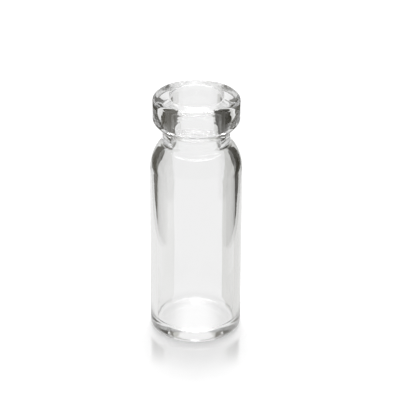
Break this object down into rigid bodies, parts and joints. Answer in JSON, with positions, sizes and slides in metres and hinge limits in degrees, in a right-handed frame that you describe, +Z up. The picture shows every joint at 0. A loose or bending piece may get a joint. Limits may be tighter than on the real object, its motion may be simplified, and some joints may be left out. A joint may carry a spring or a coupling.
{
  "type": "glass sample vial",
  "caption": "Small clear glass sample vial with a straight round body, sloping shoulder, narrow neck and thick flared head for a crimped cap, open at the mouth.",
  "frame": {"origin": "centre of the foot, on the surface that the vial stands on", "axes": "+Z up along the vial's axis towards the mouth; the vial is round, so X and Y are alike, and the picture looks along +Y from above"},
  "size_m": [0.0116, 0.0116, 0.032],
  "materials": {
    "clear_glass": "fire-polished, clear"
  },
  "bodies": {
    "root": {"glass_vial": "clear_glass"}
  },
  "joints": []
}
